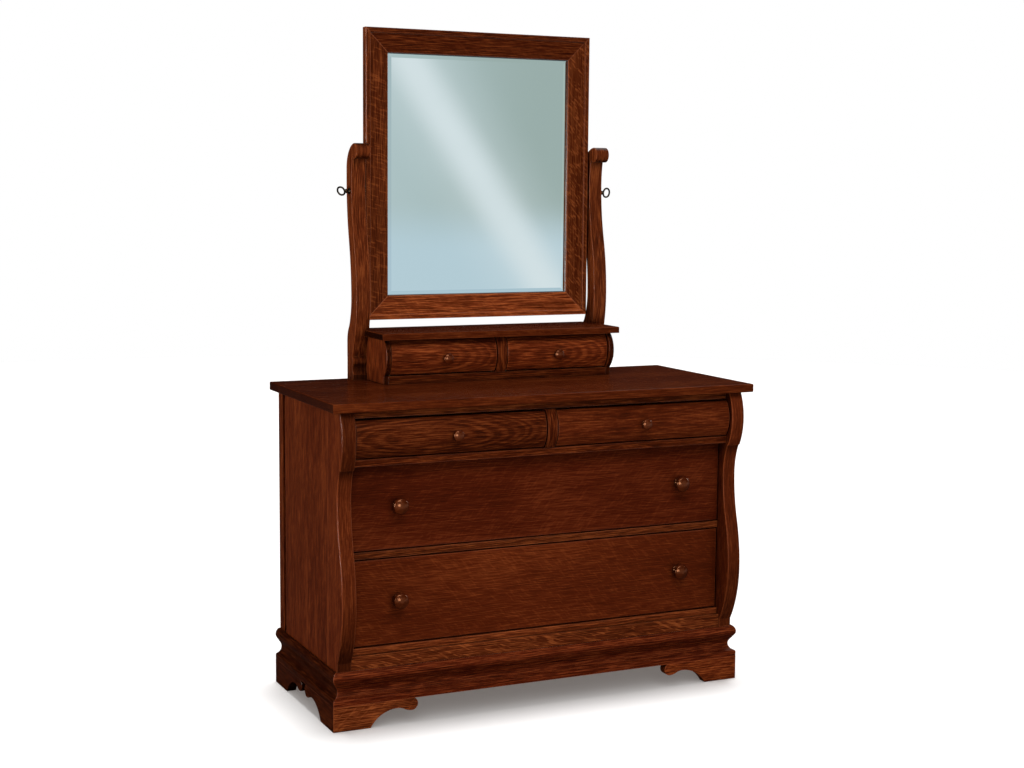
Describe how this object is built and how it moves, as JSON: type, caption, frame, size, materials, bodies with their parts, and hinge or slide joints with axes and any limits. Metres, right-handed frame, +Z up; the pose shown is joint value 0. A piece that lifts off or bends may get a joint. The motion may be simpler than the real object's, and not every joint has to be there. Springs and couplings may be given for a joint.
{
  "type": "dresser with mirror",
  "caption": "Sleigh-front dresser with bowed top drawers, wide lower drawers, a small drawer deck on the slab and a framed mirror that tilts between scrolled posts.",
  "frame": {"origin": "on the floor, under the middle of the overall width and depth", "axes": "+X to the right seen from the front, +Y to the back, +Z up"},
  "size_m": [1.219, 0.535, 1.8045],
  "materials": {
    "oak_stained": "satin lacquer over dark red-brown stain",
    "knob_oak": "satin lacquer over red-brown stain",
    "inner_wood": "clear matt",
    "bronze": "dark antique bronze",
    "mirror_glass": "silvered, bevelled edge"
  },
  "bodies": {
    "case": {"top_slab": "oak_stained", "front_foot_left": "oak_stained", "front_foot_right": "oak_stained", "back_foot_left": "oak_stained", "back_foot_right": "oak_stained", "moulding_front": "oak_stained", "moulding_left": "oak_stained", "moulding_right": "oak_stained", "sleigh_post_left": "oak_stained", "sleigh_post_right": "oak_stained", "side_panel_left": "oak_stained", "side_panel_right": "oak_stained", "back_stiles": "oak_stained", "lower_rail": "oak_stained", "bottom_blade": "oak_stained", "middle_rail": "oak_stained", "frieze_rail": "oak_stained", "top_rail": "oak_stained", "top_divider": "oak_stained", "deck_end_left": "oak_stained", "deck_end_right": "oak_stained", "deck_rail": "oak_stained", "deck_divider": "oak_stained", "deck_shelf": "oak_stained", "mirror_post_left": "oak_stained", "mirror_post_right": "oak_stained", "drawer_runners": "inner_wood", "base_back_rail": "inner_wood", "bottom_panel": "inner_wood", "back_panel": "inner_wood", "deck_floor": "inner_wood", "deck_back": "inner_wood"},
    "lower_drawer": {"lower_drawer_front": "oak_stained", "lower_drawer_box": "inner_wood", "lower_drawer_knobs": "knob_oak"},
    "upper_drawer": {"upper_drawer_front": "oak_stained", "upper_drawer_box": "inner_wood", "upper_drawer_knobs": "knob_oak"},
    "top_left_drawer": {"top_left_drawer_front": "oak_stained", "top_left_drawer_box": "inner_wood", "top_left_drawer_knob": "knob_oak"},
    "top_right_drawer": {"top_right_drawer_front": "oak_stained", "top_right_drawer_box": "inner_wood", "top_right_drawer_knob": "knob_oak"},
    "deck_left_drawer": {"deck_left_drawer_front": "oak_stained", "deck_left_drawer_box": "inner_wood", "deck_left_drawer_knob": "knob_oak"},
    "deck_right_drawer": {"deck_right_drawer_front": "oak_stained", "deck_right_drawer_box": "inner_wood", "deck_right_drawer_knob": "knob_oak"},
    "mirror": {"mirror_stile_left": "oak_stained", "mirror_stile_right": "oak_stained", "mirror_rail_bottom": "oak_stained", "mirror_rail_top": "oak_stained", "mirror_glass": "mirror_glass", "mirror_backing": "inner_wood", "pivot_bushes": "bronze"},
    "ring_screw_left": {"ring_screw_left": "bronze"},
    "ring_screw_right": {"ring_screw_right": "bronze"}
  },
  "joints": [
    {"name": "lower_drawer_slide", "type": "slide", "parent": "case", "child": "lower_drawer", "axis": [0, -1, 0], "range_m": [0, 0.33]},
    {"name": "upper_drawer_slide", "type": "slide", "parent": "case", "child": "upper_drawer", "axis": [0, -1, 0], "range_m": [0, 0.33]},
    {"name": "top_left_drawer_slide", "type": "slide", "parent": "case", "child": "top_left_drawer", "axis": [0, -1, 0], "range_m": [0, 0.33]},
    {"name": "top_right_drawer_slide", "type": "slide", "parent": "case", "child": "top_right_drawer", "axis": [0, -1, 0], "range_m": [0, 0.33]},
    {"name": "deck_left_drawer_slide", "type": "slide", "parent": "case", "child": "deck_left_drawer", "axis": [0, -1, 0], "range_m": [0, 0.11]},
    {"name": "deck_right_drawer_slide", "type": "slide", "parent": "case", "child": "deck_right_drawer", "axis": [0, -1, 0], "range_m": [0, 0.11]},
    {"name": "mirror_tilt", "type": "hinge", "parent": "case", "child": "mirror", "pos_m": [0, 0.2425, 1.361], "axis": [1, 0, 0], "range_deg": [-30, 30]},
    {"name": "ring_screw_left_turn", "type": "hinge", "parent": "case", "child": "ring_screw_left", "pos_m": [-0.3865, 0.2425, 1.361], "axis": [1, 0, 0], "continuous": true},
    {"name": "ring_screw_right_turn", "type": "hinge", "parent": "case", "child": "ring_screw_right", "pos_m": [0.3865, 0.2425, 1.361], "axis": [1, 0, 0], "continuous": true}
  ]
}
